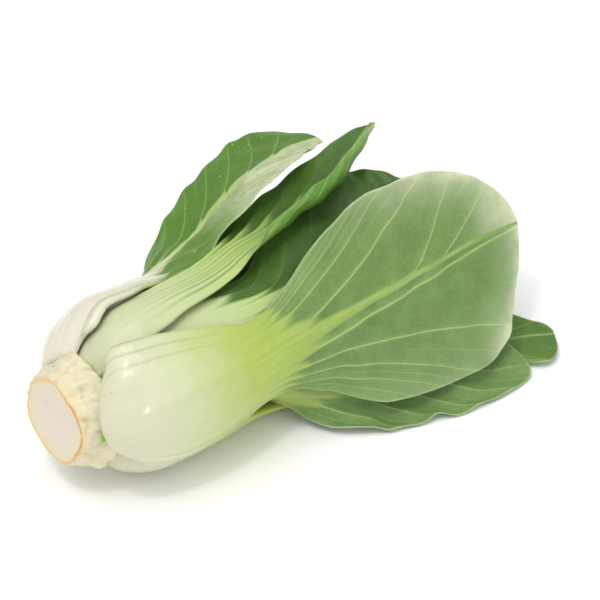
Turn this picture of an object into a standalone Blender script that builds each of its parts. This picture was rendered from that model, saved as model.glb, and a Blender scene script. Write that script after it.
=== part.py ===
"""A whole bok choy, cut off at the root and lying on its side.

Eleven leaves grow from one short stem. Each leaf is one piece: a thick, spoon-shaped stalk that
clasps the plant and widens into a thin blade. The outer leaves lie over the edges of the inner ones.
The plant's axis runs along +X from the cut, +Z is up, and the model is in metres.
"""

import math
from typing import NamedTuple

import bpy
import numpy as np

MM = 0.001

# Stem base, in mm. The leaves leave it in three rings, the lowest ring first.
CUT_RADIUS = 16.0
CUT_SLANT = math.radians(8.0)
STEM_PROFILE = [
    (0.0, CUT_RADIUS), (2.0, 17.3), (5.0, 17.8), (8.0, 17.0), (11.0, 14.8), (14.0, 12.2),
    (17.0, 9.6), (21.0, 7.2), (26.0, 5.2), (32.0, 3.6), (38.0, 2.2),
]
STEM_SIDES = 24

# Mesh density: rows from a leaf's base to its tip, closer together at both ends by END_CROWDING, and
# columns on each side of its midrib.
END_CROWDING = 0.08
LEAF_ROWS = 24
LEAF_COLUMNS = 5
HEART_ROWS = 12
HEART_COLUMNS = 3
TIP_HALF_WIDTH = 0.8

# Flesh of a leaf: (place along it, thickness at the midrib, thickness at the margin), in mm.
OUTER_FLESH = [(0, 6.0, 3.5), (0.12, 6.5, 1.6), (0.3, 5, 1.2), (0.45, 3, 0.9), (0.6, 1.7, 0.8), (1, 0.8, 0.7)]
MIDDLE_FLESH = [(0, 5.0, 2.5), (0.12, 5, 1.4), (0.3, 4, 1.0), (0.45, 2.6, 0.8), (0.6, 1.5, 0.8), (1, 0.8, 0.7)]
INNER_FLESH = [(0, 4.0, 2.0), (0.15, 4, 1.2), (0.35, 3, 0.9), (0.5, 2, 0.8), (0.7, 1.2, 0.7), (1, 0.8, 0.7)]
HEART_FLESH = [(0, 3.0, 1.5), (0.3, 2.6, 1.0), (0.6, 1.4, 0.8), (1, 0.8, 0.7)]


class Leaf(NamedTuple):
    """One leaf. Places along it run from 0 at its base to 1 at its tip.

    azimuth: where it stands round the stem, in degrees; 0 faces -Y, 90 faces up, 180 faces +Y.
    spine: points of its midrib as (along the stem, out from the stem's axis, aside), in mm.
    ahead, behind: its halves, on the side of growing and falling azimuth. Each row is
        (place, width in mm, fold at the midrib, cupping, curl of the margin), angles in degrees;
        a positive angle closes the half towards the plant's heart.
    turn: (place, degrees) by which the leaf rolls about its midrib.
    blade_start: the place where the stalk stops clasping the plant and the blade begins.
    round_from: the place where the round tip begins.
    """

    name: str
    azimuth: float
    spine: list
    ahead: list
    behind: list
    flesh: list
    blade_start: float
    round_from: float = 0.82
    turn: list = ((0, 0), (1, 0))


LEAVES = [
    Leaf(
        "outer_leaf_front", 20,
        [(10, 21.2, 0), (12.3, 25.4, 0), (18, 29.4, 0), (29.5, 32, 0), (48, 32, 0), (72, 29, 0),
         (95, 28, -1), (125, 28, -1.5), (155, 28, 3), (180, 27, 6.5), (197.5, 25, 6)],
        [(0, 22, 0, 0, 0), (0.04, 28, 0, 0, 0), (0.14, 27, 0, 0, 0), (0.26, 21, 0, 0, 0),
         (0.36, 15, 0, 0, 0), (0.45, 21, 4, 0, 0), (0.57, 36, 5, 0, -8), (0.68, 42, 4, 0, -12),
         (0.8, 37, 3, 0, -12), (1, 22, 0, 0, 0)],
        [(0, 7, 0, 0, 0), (0.05, 13, 0, 0, 0), (0.1, 20, 0, 0, 0), (0.16, 24, 0, 0, 0), (0.28, 22, 0, 0, 0),
         (0.36, 17, 0, 0, 0), (0.46, 23, 4, 0, 0), (0.57, 32.5, 5, 0, -8), (0.71, 38.5, 4, 0, -10),
         (0.82, 42, 3, 0, -12), (1, 40, 0, 0, 0)],
        OUTER_FLESH, 0.38, 0.79,
        [(0, 0), (0.3, 0), (0.5, 8), (1, 8)],
    ),
    Leaf(
        "outer_leaf_back", 150,
        [(9, 18, 0), (14, 25, 0), (26, 32, 0), (46, 33, 0), (66, 35.5, 0), (80, 40, -1), (96, 47, -4),
         (114, 54.5, -6), (134, 59, -5), (151, 61, -1.5), (157.5, 61, 0.5)],
        [(0, 15, 0, 0, 0), (0.14, 23, 0, 0, 0), (0.28, 19, 0, 0, 0), (0.36, 19, 0, 0, 0),
         (0.46, 21, 0, 0, 0), (0.62, 24, 0, 0, 0), (0.78, 26, 0, 0, 0), (0.9, 29, 0, 0, 0),
         (1, 31, 0, 0, 0)],
        [(0, 15, 0, 0, 0), (0.1, 25, 0, 0, 10), (0.22, 21, 0, 0, 18), (0.3, 18, 0, 0, 8),
         (0.38, 14, -8, 0, 0), (0.49, 20.5, -17, 0, 0), (0.74, 25, -16, 0, 0), (0.88, 17, -16, 0, 0),
         (1, 9, -10, 0, 0)],
        OUTER_FLESH, 0.36, 0.82,
        [(0, 0), (0.26, 0), (0.46, -40), (0.75, -43), (1, -53)],
    ),
    Leaf(
        "outer_leaf_below", 298,
        [(14, 16.5, 0), (19, 23.5, 0), (29, 28.4, 0), (46, 29, 0), (72, 28.5, 0), (86, 30, -1),
         (102, 32.5, 0), (118, 34, 1), (150, 36.5, 5), (180, 41, 14), (202, 46, 24)],
        [(0, 12, 0, 0, 0), (0.12, 22, 0, 0, 0), (0.26, 18, 0, 0, 0), (0.34, 7, 0, 0, 0), (0.44, 4, 0, 0, 0),
         (0.56, 4, 0, 0, 0), (0.7, 4, 0, 0, 0), (0.84, 4, 0, 0, 0), (0.93, 17, 0, 0, 0), (1, 27, 0, 0, 0)],
        [(0, 10, 0, 0, 0), (0.12, 18, 0, 0, 0), (0.26, 20, 0, 0, 0), (0.36, 17, 0, 0, 0),
         (0.48, 14, 0, 0, 0), (0.66, 18, 0, 0, 20), (0.84, 20, 0, 0, 20), (1, 15, 0, 0, 0)],
        OUTER_FLESH, 0.34, 0.9,
        [(0, 0), (0.3, 0), (0.5, -28), (1, -28)],
    ),
    Leaf(
        "outer_leaf_low_back", 224,
        [(14, 14, 0), (20, 20, 0), (31, 24.8, 0), (48, 26, 0), (74, 27, 0), (100, 34.5, 1), (130, 43, -1),
         (160, 47.5, -4.5), (182, 48.5, -7)],
        [(0, 9, 0, 0, 0), (0.14, 18, 0, 0, 0), (0.32, 17, 0, 0, 0), (0.4, 16, 0, 0, 0), (0.52, 22, 0, 0, 0),
         (0.7, 26, 0, 0, 0), (0.86, 24, 0, 0, 0), (1, 14, 0, 0, 0)],
        [(0, 11, 0, 0, 0), (0.14, 20, 0, 0, 0), (0.32, 17, 0, 0, 0), (0.4, 16, 0, 0, 0),
         (0.52, 25, 0, 20, 0), (0.7, 33, 0, 30, 0), (0.86, 29, 0, 30, 0), (1, 16, 0, 0, 0)],
        MIDDLE_FLESH, 0.38, 0.82,
        [(0, 0), (0.3, 0), (0.5, 42), (1, 42)],
    ),
    Leaf(
        "outer_leaf_top", 97,
        [(14, 14, 0), (20, 20, 0), (31, 26, 0), (48, 28.2, 0), (66, 29.3, 0.5), (87, 32, 4), (111, 36, 9),
         (130, 40, 12), (148, 47, 16), (161, 53, 19)],
        [(0, 11, 0, 0, 0), (0.12, 18, 0, 0, 0), (0.28, 12, 0, 0, 0), (0.44, 11, 0, 0, 0),
         (0.58, 15, 0, 0, 0), (0.75, 16, 0, 0, 0), (0.9, 10, 0, 0, 0), (1, 5, 0, 0, 0)],
        [(0, 7, 0, 0, 0), (0.1, 14, 0, 0, 0), (0.2, 12, 0, 0, 0), (0.3, 9, 0, 0, 0), (0.42, 8, 0, -10, 0),
         (0.5, 10, 0, -60, 0), (0.58, 12.5, 0, -80, -100), (0.75, 14, 0, -80, -110), (0.9, 12, 0, -80, -90),
         (1, 6, 0, -90, 0)],
        MIDDLE_FLESH, 0.4, 0.86,
    ),
    Leaf(
        "inner_leaf_top", 60,
        [(18, 11, 0), (25, 16.5, 0), (39, 21.3, 0), (58, 24, 0), (78, 24.7, 0), (105, 22, 2), (130, 21, 5),
         (155, 23, 9), (172, 25, 12)],
        [(0, 8, 0, 0, 0), (0.14, 14, 0, 0, 0), (0.42, 14, 0, 0, 0), (0.55, 24, 0, 10, 0),
         (0.72, 33, 0, 10, 0), (0.86, 31, 0, 10, 0), (1, 18, 0, 0, 0)],
        [(0, 8, 0, 0, 0), (0.14, 13, 0, 0, 0), (0.42, 13, 0, 0, 0), (0.55, 17, 0, 30, 0),
         (0.72, 19, 0, 30, 0), (0.88, 17, 0, 30, 0), (1, 10, 0, 0, 0)],
        INNER_FLESH, 0.4, 0.8,
    ),
    Leaf(
        "inner_leaf_back", 188,
        [(18, 11, 0), (25, 16, 0), (37, 19.5, 0), (56, 20, 0), (80, 19.5, 0), (105, 19.5, 0), (130, 21, 0),
         (150, 23, 0)],
        [(0, 8, 0, 0, 0), (0.14, 13, 0, 0, 0), (0.42, 13, 0, 0, 0), (0.55, 19, 0, 50, 0),
         (0.72, 21, 0, 60, 0), (0.88, 18, 0, 50, 0), (1, 12, 0, 0, 0)],
        [(0, 8, 0, 0, 0), (0.14, 13, 0, 0, 0), (0.32, 14, 0, 0, 0), (0.42, 17, 0, 0, 0),
         (0.55, 30, 0, 10, 0), (0.72, 33, 0, 10, 0), (0.88, 26, 0, 10, 0), (1, 14, 0, 0, 0)],
        INNER_FLESH, 0.42, 0.82,
    ),
    Leaf(
        "inner_leaf_below", 322,
        [(18, 11, 0), (25, 16, 0), (37, 19.5, 0), (56, 20.5, 0), (76, 23, 0), (90, 28, 1), (104, 33.5, 2),
         (118, 37, 3), (134, 40, 4), (148, 42, 4.5), (162, 42, 3), (177, 38, 0)],
        [(0, 8, 0, 0, 0), (0.14, 13, 0, 0, 0), (0.36, 12, 0, 0, 0), (0.46, 10, 20, 0, 0),
         (0.6, 12, 40, 0, 0), (0.8, 14, 40, 0, 0), (0.9, 14, 40, 0, 0), (1, 10, 30, 0, 0)],
        [(0, 8, 0, 0, 0), (0.14, 13, 0, 0, 0), (0.36, 11, 0, 0, 0), (0.44, 9, -5, 0, 0),
         (0.5, 12, -15, -5, 0), (0.56, 17, -26, -20, -5), (0.64, 21.5, -31, -20, 0),
         (0.82, 24.5, -37, -20, 0), (0.94, 26, -38, -20, 0), (1, 25, -38, -20, 0)],
        INNER_FLESH, 0.42, 0.94,
        [(0, 0), (0.36, 0), (0.5, 50), (0.58, 63), (1, 66)],
    ),
]

# The three heart leaves clasp each other all the way up, so each half is (place, width) only.
HEART_LEAVES = [
    ("heart_leaf_top", 110, [(24, 7.5, 0), (32, 12, 0), (46, 13.5, 0), (80, 13, 0), (118, 11, 0)]),
    ("heart_leaf_below", 230, [(26, 7, 0), (34, 11.5, 0), (48, 13, 0), (76, 12.5, 0), (104, 10.5, 0)]),
    ("heart_leaf_front", 350, [(28, 6.5, 0), (36, 11, 0), (48, 12.5, 0), (72, 12, 0), (92, 10, 0)]),
]
HEART_WIDTHS = [(0, 6), (0.2, 10), (0.45, 8.5), (0.7, 11.5), (0.9, 9), (1, 5)]
HEART_CLASP_TO = 0.98


def clear_scene():
    for obj in list(bpy.data.objects):
        bpy.data.objects.remove(obj)


def between(places, table, column=1):
    """The table's column at each place, by a smooth curve that never overshoots its rows."""
    xs = np.array([row[0] for row in table], float)
    ys = np.array([row[column] for row in table], float)
    steps = np.diff(xs)
    rises = np.diff(ys) / steps
    slopes = np.concatenate([rises[:1], np.zeros(len(xs) - 2), rises[-1:]])
    same_way = rises[:-1] * rises[1:] > 0
    sums = np.where(same_way, rises[:-1] + rises[1:], 1)
    slopes[1:-1] = np.where(same_way, 2 * rises[:-1] * rises[1:] / sums, 0)
    return hermite(places, xs, ys, slopes)


def hermite(places, xs, ys, slopes):
    """The cubic through the points (xs, ys) with the given slopes, at each place."""
    cell = np.clip(np.searchsorted(xs, places, side="right") - 1, 0, len(xs) - 2)
    step = xs[cell + 1] - xs[cell]
    t = np.clip((places - xs[cell]) / step, 0, 1)
    return (
        (1 + 2 * t) * (1 - t) ** 2 * ys[cell] + t * (1 - t) ** 2 * step * slopes[cell]
        + t * t * (3 - 2 * t) * ys[cell + 1] + t * t * (t - 1) * step * slopes[cell + 1]
    )


def unit(vectors):
    return vectors / np.linalg.norm(vectors, axis=-1, keepdims=True)


def outward(azimuths):
    """The direction away from the stem's axis at each azimuth, in degrees."""
    angles = np.radians(azimuths)
    return np.stack([np.zeros_like(angles), -np.cos(angles), np.sin(angles)], axis=-1)


def spine_of(leaf, places):
    """Points and directions of the midrib at the places, evenly spaced along its length."""
    azimuth = math.radians(leaf.azimuth)
    out = np.array([0, -math.cos(azimuth), math.sin(azimuth)])
    aside = np.array([0, math.sin(azimuth), math.cos(azimuth)])
    points = np.array([np.array([x, 0, 0]) + r * out + s * aside for x, r, s in leaf.spine])
    gaps = np.linalg.norm(np.diff(points, axis=0), axis=1)
    knots = np.concatenate([[0], np.cumsum(gaps)])
    chords = np.diff(points, axis=0) / gaps[:, None]
    slopes = np.concatenate([chords[:1], np.zeros((len(gaps) - 1, 3)), chords[-1:]])
    weights = gaps[:-1, None] + gaps[1:, None]
    slopes[1:-1] = (chords[:-1] * gaps[1:, None] + chords[1:] * gaps[:-1, None]) / weights

    def curve(at):
        return np.stack([hermite(at, knots, points[:, axis], slopes[:, axis]) for axis in range(3)], axis=-1)

    fine = np.linspace(0, knots[-1], 600)
    lengths = np.linalg.norm(np.diff(curve(fine), axis=0), axis=1)
    travelled = np.concatenate([[0], np.cumsum(lengths)])
    at = np.interp(places * travelled[-1], travelled, fine)
    nudge = 0.001 * knots[-1]
    ends = np.clip(at + nudge, 0, knots[-1]), np.clip(at - nudge, 0, knots[-1])
    return curve(at), unit(curve(ends[0]) - curve(ends[1]))


def half_section(leaf, table, places, reach, columns):
    """How far each column of a half lies aside from the midrib and in towards the heart, in mm."""
    tip = np.clip((places - leaf.round_from) / (1 - leaf.round_from), 0, 1)
    width = np.maximum(between(places, table) * np.sqrt(1 - tip ** 2.2), TIP_HALF_WIDTH)
    clasp_end = min(leaf.blade_start + 0.2, 0.99)
    clasp = between(places, [(0, 1), (leaf.blade_start, 1), (clasp_end, 0), (1, 0)])
    fold = np.radians(between(places, table, 2))
    cup = np.radians(between(places, table, 3)) + clasp * width / reach
    curl = np.radians(between(places, table, 4))
    t = np.linspace(0, 1, 8 * columns + 1)
    angle = fold[:, None] + cup[:, None] * t + curl[:, None] * t ** 3
    step = width[:, None] / (len(t) - 1)
    sums = [np.cumsum((f(angle)[:, 1:] + f(angle)[:, :-1]) / 2 * step, axis=1) for f in (np.cos, np.sin)]
    return [np.concatenate([np.zeros((len(places), 1)), total], axis=1)[:, ::8] for total in sums]


def row_places(rows):
    """Where the rows of a leaf's mesh lie along it."""
    even = np.linspace(0, 1, rows + 1)
    return even - END_CROWDING * np.sin(2 * math.pi * even)


def leaf_sheet(leaf, places, columns):
    """Grid of points half-way through the flesh, from the margin behind to the margin ahead."""
    midrib, along = spine_of(leaf, places)
    away = outward(leaf.azimuth + between(places, leaf.turn))
    away = unit(away - np.sum(away * along, axis=1, keepdims=True) * along)
    aside = np.cross(away, along)
    reach = np.maximum(np.hypot(midrib[:, 1], midrib[:, 2]), 6)
    halves = []
    for side, table in ((-1, leaf.behind), (1, leaf.ahead)):
        over, inward = half_section(leaf, table, places, reach, columns)
        grid = midrib[:, None] + side * over[..., None] * aside[:, None] - inward[..., None] * away[:, None]
        halves.append(grid)
    return np.concatenate([halves[0][:, :0:-1], halves[1]], axis=1)


def leaf_faces(leaf, places, columns):
    """The sheet's inner and outer faces, set apart by the flesh."""
    sheet = leaf_sheet(leaf, places, columns)
    inward = unit(np.cross(np.gradient(sheet, axis=1), np.gradient(sheet, axis=0)))
    t = np.abs(np.linspace(-1, 1, 2 * columns + 1))
    middle = between(places, leaf.flesh)[:, None]
    margin = between(places, leaf.flesh, 2)[:, None]
    half = (margin + (middle - margin) * (1 - t ** 1.6)) / 2
    return sheet + inward * half[..., None], sheet - inward * half[..., None]


def shell_mesh(name, inner, outer):
    """A closed mesh between two grids of the same size, with a rim round their edges."""
    rows, columns = inner.shape[:2]
    count = rows * columns
    points = np.concatenate([inner.reshape(-1, 3), outer.reshape(-1, 3)]) * MM
    index = np.arange(count).reshape(rows, columns)
    faces = []
    for r in range(rows - 1):
        for c in range(columns - 1):
            quad = [index[r, c], index[r, c + 1], index[r + 1, c + 1], index[r + 1, c]]
            faces.append(quad)
            faces.append([count + corner for corner in reversed(quad)])
    rim = list(index[0, ::-1]) + list(index[1:, 0]) + list(index[-1, 1:]) + list(index[-2:0:-1, -1])
    for here, there in zip(rim, rim[1:] + rim[:1]):
        faces.append([here, there, count + there, count + here])
    mesh = bpy.data.meshes.new(name)
    mesh.from_pydata(points.tolist(), [], [[int(corner) for corner in face] for face in faces])
    mesh.update()
    return mesh


def solid_material(name, colour, roughness):
    material = bpy.data.materials.new(name)
    material.use_nodes = True
    shader = material.node_tree.nodes["Principled BSDF"]
    shader.inputs["Base Color"].default_value = (*colour, 1)
    shader.inputs["Roughness"].default_value = roughness
    shader.inputs["Metallic"].default_value = 0
    material.diffuse_color = (*colour, 1)
    return material


def add_object(mesh):
    obj = bpy.data.objects.new(mesh.name, mesh)
    bpy.context.scene.collection.objects.link(obj)
    mesh.polygons.foreach_set("use_smooth", [True] * len(mesh.polygons))
    return obj


def add_leaf(leaf, rows, columns, stalk_colour, blade_colour):
    """One leaf: the stalk's faces get the pale colour, the blade's faces the green one."""
    inner, outer = leaf_faces(leaf, row_places(rows), columns)
    mesh = shell_mesh(leaf.name, inner, outer)
    mesh.materials.append(solid_material(leaf.name + "_stalk", stalk_colour, 0.3))
    mesh.materials.append(solid_material(leaf.name + "_blade", blade_colour, 0.5))
    blade_start = spine_of(leaf, np.array([leaf.blade_start]))[0][0, 0] * MM
    for face in mesh.polygons:
        face.material_index = int(face.center.x > blade_start)
    return add_object(mesh)


def heart_leaf(name, azimuth, spine):
    half = [(place, width, 0, 0, 0) for place, width in HEART_WIDTHS]
    return Leaf(name, azimuth, spine, half, half, HEART_FLESH, HEART_CLASP_TO)


def add_stem_base(colour):
    """The cut stem: rings of the profile round +X, the first one slanted as the knife left it."""
    points = []
    for x, radius in STEM_PROFILE:
        slant = math.tan(CUT_SLANT) * (1 - x / STEM_PROFILE[-1][0])
        for side in range(STEM_SIDES):
            angle = 2 * math.pi * side / STEM_SIDES
            y = radius * math.cos(angle)
            z = radius * math.sin(angle)
            points.append(((x + slant * (z - y) / math.sqrt(2)) * MM, y * MM, z * MM))
    faces = [list(reversed(range(STEM_SIDES)))]
    for ring in range(len(STEM_PROFILE) - 1):
        for side in range(STEM_SIDES):
            here = ring * STEM_SIDES + side
            beside = ring * STEM_SIDES + (side + 1) % STEM_SIDES
            faces.append([here, beside, beside + STEM_SIDES, here + STEM_SIDES])
    last = (len(STEM_PROFILE) - 1) * STEM_SIDES
    faces.append([last + side for side in range(STEM_SIDES)])
    mesh = bpy.data.meshes.new("stem_base")
    mesh.from_pydata(points, [], faces)
    mesh.update()
    mesh.materials.append(solid_material("stem_base", colour, 0.6))
    return add_object(mesh)


def set_down(objects):
    """Moves the plant so that the origin lies on the surface under the middle of its bounding box."""
    corners = np.array([vertex.co for obj in objects for vertex in obj.data.vertices])
    low = corners.min(axis=0)
    high = corners.max(axis=0)
    shift = np.array([(low[0] + high[0]) / 2, (low[1] + high[1]) / 2, low[2]])
    for obj in objects:
        obj.location = tuple(-shift)


clear_scene()
plant = [add_stem_base((0.78, 0.7, 0.5))]
for grown in LEAVES:
    plant.append(add_leaf(grown, LEAF_ROWS, LEAF_COLUMNS, (0.75, 0.79, 0.52), (0.2, 0.34, 0.1)))
for heart in HEART_LEAVES:
    plant.append(add_leaf(heart_leaf(*heart), HEART_ROWS, HEART_COLUMNS, (0.72, 0.76, 0.4), (0.3, 0.42, 0.1)))
set_down(plant)
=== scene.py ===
import math
from typing import NamedTuple

import bpy
import numpy as np
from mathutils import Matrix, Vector


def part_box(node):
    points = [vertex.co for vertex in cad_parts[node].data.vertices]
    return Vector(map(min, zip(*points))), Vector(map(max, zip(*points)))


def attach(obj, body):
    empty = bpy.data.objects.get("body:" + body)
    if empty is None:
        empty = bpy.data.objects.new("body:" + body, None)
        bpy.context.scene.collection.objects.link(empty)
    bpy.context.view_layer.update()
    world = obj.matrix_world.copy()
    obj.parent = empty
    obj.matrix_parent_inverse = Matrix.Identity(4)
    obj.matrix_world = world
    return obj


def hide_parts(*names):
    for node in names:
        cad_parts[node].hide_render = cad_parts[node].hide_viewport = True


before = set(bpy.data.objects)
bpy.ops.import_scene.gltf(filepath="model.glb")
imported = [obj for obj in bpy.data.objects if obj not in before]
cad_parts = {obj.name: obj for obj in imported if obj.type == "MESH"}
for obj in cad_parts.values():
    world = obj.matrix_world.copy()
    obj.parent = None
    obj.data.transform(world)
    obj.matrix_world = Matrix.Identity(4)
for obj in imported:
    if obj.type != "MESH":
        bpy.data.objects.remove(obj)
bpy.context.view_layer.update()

# ----------------------------------------
# Cut stem. The short, solid stem that every leaf grows from, sliced off with a knife below them.
# The cut is pale, wet pith inside a thin skin; behind it stands a cream collar, ragged with the
# scars of leaves that were torn away. Lengths are in mm from the middle of the cut.
# ----------------------------------------
MM = 0.001
CUT_SLANT = math.tan(math.radians(8.0))
CUT_RADIUS = 16.0
COLLAR_RADIUS = 17.0
COLLAR_END = 15.5
stem_low, stem_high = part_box("stem_base")
CUT_CENTRE = np.array([
    stem_low.x + CUT_RADIUS * CUT_SLANT * MM, (stem_low.y + stem_high.y) / 2, (stem_low.z + stem_high.z) / 2,
])

# The stem's outline from the middle of the cut to its tip in the heart: (along, out from the axis).
STEM_OUTLINE = [
    (0.9, 0.5), (0.8, 3), (0.7, 6), (0.6, 9), (0.4, 11.5), (0.2, 13.5), (0.0, 14.8), (-0.2, 15.4), (0.0, 15.9),
    (0.5, 16.3), (1.1, 16.5), (1.8, 16.8), (2.6, 17.1), (3.5, 17.4), (4.5, 17.7), (5.5, 17.9), (6.5, 18.1),
    (7.5, 18.5), (8.5, 18.9), (9.4, 19.5), (10.2, 20.1), (11, 20.5), (11.9, 20.6), (12.8, 20.1), (13.8, 18.9),
    (14.9, 17), (16.2, 14.4), (18.2, 11), (21.5, 7.6), (26, 5.2), (32, 3.6), (37.5, 2.2),
]
STEM_SIDES = 144
# Knobs and scars on the collar: (along, azimuth in degrees, height, size), in mm.
STEM_KNOBS = [
    (13.5, 59, 1.6, 4.2), (9.5, 26, 1.5, 3.6), (12.5, 0, 3.0, 2.4), (11, 345, 1.6, 3.0), (7.5, 318, 1.4, 5.0),
    (9, 300, 1.6, 3.4), (5.5, 330, -0.9, 1.6), (6, 82, 0.9, 3.4), (8, 110, 0.8, 3.0), (4, 40, 0.7, 2.6),
    (7, 8, -1.0, 1.7), (11, 40, -1.0, 1.8), (10, 80, -0.9, 2.0), (6, 60, -0.6, 1.8), (9.5, 330, 1.4, 2.6),
    (8, 150, 1.0, 4.0), (11, 185, 1.4, 4.0), (7, 215, 1.1, 3.4), (10, 250, 1.5, 3.6), (5, 270, 0.8, 3.0),
]
# Green tips of buds that push through the collar: (along, azimuth in degrees).
SPROUTS = [(13.6, 84), (6.9, 1), (12.5, 250)]
SPROUT_HEIGHT = 0.9


def smooth_noise(along, around, length, seed):
    """Soft random waves about as long as the given length in mm, mostly between -1 and 1."""
    rng = np.random.default_rng(seed)
    total = 0
    for _ in range(14):
        heading = rng.uniform(0, 2 * math.pi)
        pace = 2 * math.pi / (length * rng.uniform(0.75, 1.5))
        start = rng.uniform(0, 2 * math.pi)
        total = total + np.sin((along * math.cos(heading) + around * math.sin(heading)) * pace + start)
    return total / math.sqrt(14)


def vertex_array(mesh):
    places = np.empty(len(mesh.vertices) * 3)
    mesh.vertices.foreach_get("co", places)
    return places.reshape(-1, 3)


def set_vertices(mesh, places):
    mesh.vertices.foreach_set("co", places.ravel())
    mesh.update()


def note(mesh, name, values):
    """Keeps a number for every vertex, for the material to read."""
    mesh.attributes.new(name, "FLOAT", "POINT").data.foreach_set("value", np.asarray(values, float).ravel())


def linear(colour):
    """A hex colour as the linear numbers that a shader takes."""
    parts = [int(colour[i:i + 2], 16) / 255 for i in (0, 2, 4)]
    return [c / 12.92 if c <= 0.04045 else ((c + 0.055) / 1.055) ** 2.4 for c in parts] + [1.0]


def add(tree, kind, inputs=None, out=0, stops=(), **settings):
    """Adds one shader node with its settings and links, and gives one of its outputs."""
    node = tree.nodes.new("ShaderNode" + kind)
    for name, value in settings.items():
        setattr(node, name, value)
    for name, value in (inputs or {}).items():
        if isinstance(value, bpy.types.NodeSocket):
            tree.links.new(value, node.inputs[name])
        else:
            node.inputs[name].default_value = linear(value) if isinstance(value, str) else value
    for number, (position, colour) in enumerate(stops):
        if number >= len(node.color_ramp.elements):
            node.color_ramp.elements.new(position)
        node.color_ramp.elements[number].position = position
        node.color_ramp.elements[number].color = linear(colour)
    return node.outputs[out]


# What a Mix node needs besides its two colours, which are its inputs 6 and 7.
OF_COLOURS = {"out": 2, "data_type": "RGBA"}

bpy.ops.object.select_all(action="DESELECT")
bpy.ops.mesh.primitive_circle_add(
    vertices=STEM_SIDES, radius=STEM_OUTLINE[0][1] * MM, fill_type="NGON", rotation=(0, math.radians(90), 0),
    location=(STEM_OUTLINE[0][0] * MM, 0, 0),
)
stem = bpy.context.object
stem.name = "cut_stem"
bpy.ops.object.transform_apply(location=True, rotation=True, scale=True)
bpy.ops.object.mode_set(mode="EDIT")
bpy.ops.mesh.select_all(action="SELECT")
for (was_along, was_out), (along, out) in zip(STEM_OUTLINE, STEM_OUTLINE[1:]):
    bpy.ops.mesh.extrude_region_move(TRANSFORM_OT_translate={"value": ((along - was_along) * MM, 0, 0)})
    bpy.ops.transform.resize(value=(1, out / was_out, out / was_out), center_override=(along * MM, 0, 0))
bpy.ops.mesh.select_all(action="SELECT")
bpy.ops.mesh.normals_make_consistent(inside=False)
bpy.ops.object.mode_set(mode="OBJECT")
bpy.ops.object.shade_smooth()

# The wall swells and sinks in lumps as long as 7, 3.4 and 1.8 mm, and the cut is slightly dished.
stem_places = vertex_array(stem.data) / MM
stem_along = stem_places[:, 0].copy()
stem_out = np.hypot(stem_places[:, 1], stem_places[:, 2])
stem_azimuth = np.degrees(np.arctan2(stem_places[:, 2], -stem_places[:, 1]))
stem_around = np.radians(stem_azimuth) * COLLAR_RADIUS
on_wall = np.clip((stem_out - 15.6) / 0.8, 0, 1) * np.clip((COLLAR_END - stem_along) / 4, 0, 1)
on_wall = np.where((stem_along > 3) & (stem_along < 15), np.clip((COLLAR_END - stem_along) / 3, 0, 1), on_wall)
swell = on_wall * (
    0.42 * smooth_noise(stem_along, stem_around, 7, 11) + 0.34 * smooth_noise(stem_along, stem_around, 3.4, 12)
    + 0.2 * smooth_noise(stem_along, stem_around, 1.8, 13)
)
for along, azimuth, height, size in STEM_KNOBS:
    turn = (stem_azimuth - azimuth + 180) % 360 - 180
    away = np.hypot(stem_along - along, np.radians(turn) * COLLAR_RADIUS) / size
    swell += height * np.exp(-away ** 2.6 * 1.2) * (stem_out > 12)
sprout = np.zeros(len(stem_places))
for along, azimuth in SPROUTS:
    turn = (stem_azimuth - azimuth + 180) % 360 - 180
    away = np.hypot((stem_along - along) / 0.8, np.radians(turn) * COLLAR_RADIUS / 1.5)
    sprout = np.maximum(sprout, np.clip(1.8 * np.exp(-away ** 2), 0, 1) * (stem_out > 12))
swell += SPROUT_HEIGHT * sprout
rim = np.exp(-((stem_out - 15.2) / 1.6) ** 2) * (stem_along < 1.5)
wander = 0.5 * smooth_noise(stem_around * 0, stem_around, 16, 14) * np.clip(stem_out / CUT_RADIUS, 0, 1)
pith = (stem_along < 1.2) & (stem_out < 15.6)
dish = 0.25 * smooth_noise(stem_places[:, 1], stem_places[:, 2], 14, 15) + 0.08 * smooth_noise(
    stem_places[:, 1], stem_places[:, 2], 3, 16)
stretch = 1 + (swell + wander * (stem_along < 14)) / np.maximum(stem_out, 4)
slant = CUT_SLANT * np.clip(1 - stem_along / 38, 0, 1) * (stem_places[:, 2] - stem_places[:, 1]) / math.sqrt(2)
stem_places[:, 1] *= stretch
stem_places[:, 2] *= stretch
stem_places[:, 0] += slant + pith * dish - 0.15 * rim * smooth_noise(stem_around * 0, stem_around, 5, 17)
set_vertices(stem.data, stem_places * MM + CUT_CENTRE)
note(stem.data, "from_middle", np.where(stem_along < 1.6, stem_out / CUT_RADIUS, 1 + stem_along / 20))
note(stem.data, "swell", swell)
note(stem.data, "in_front", 0.12 + 0.88 * np.clip(np.cos(np.radians(stem_azimuth - 20)), 0, 1) ** 1.5)
note(stem.data, "sprout", sprout)

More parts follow.
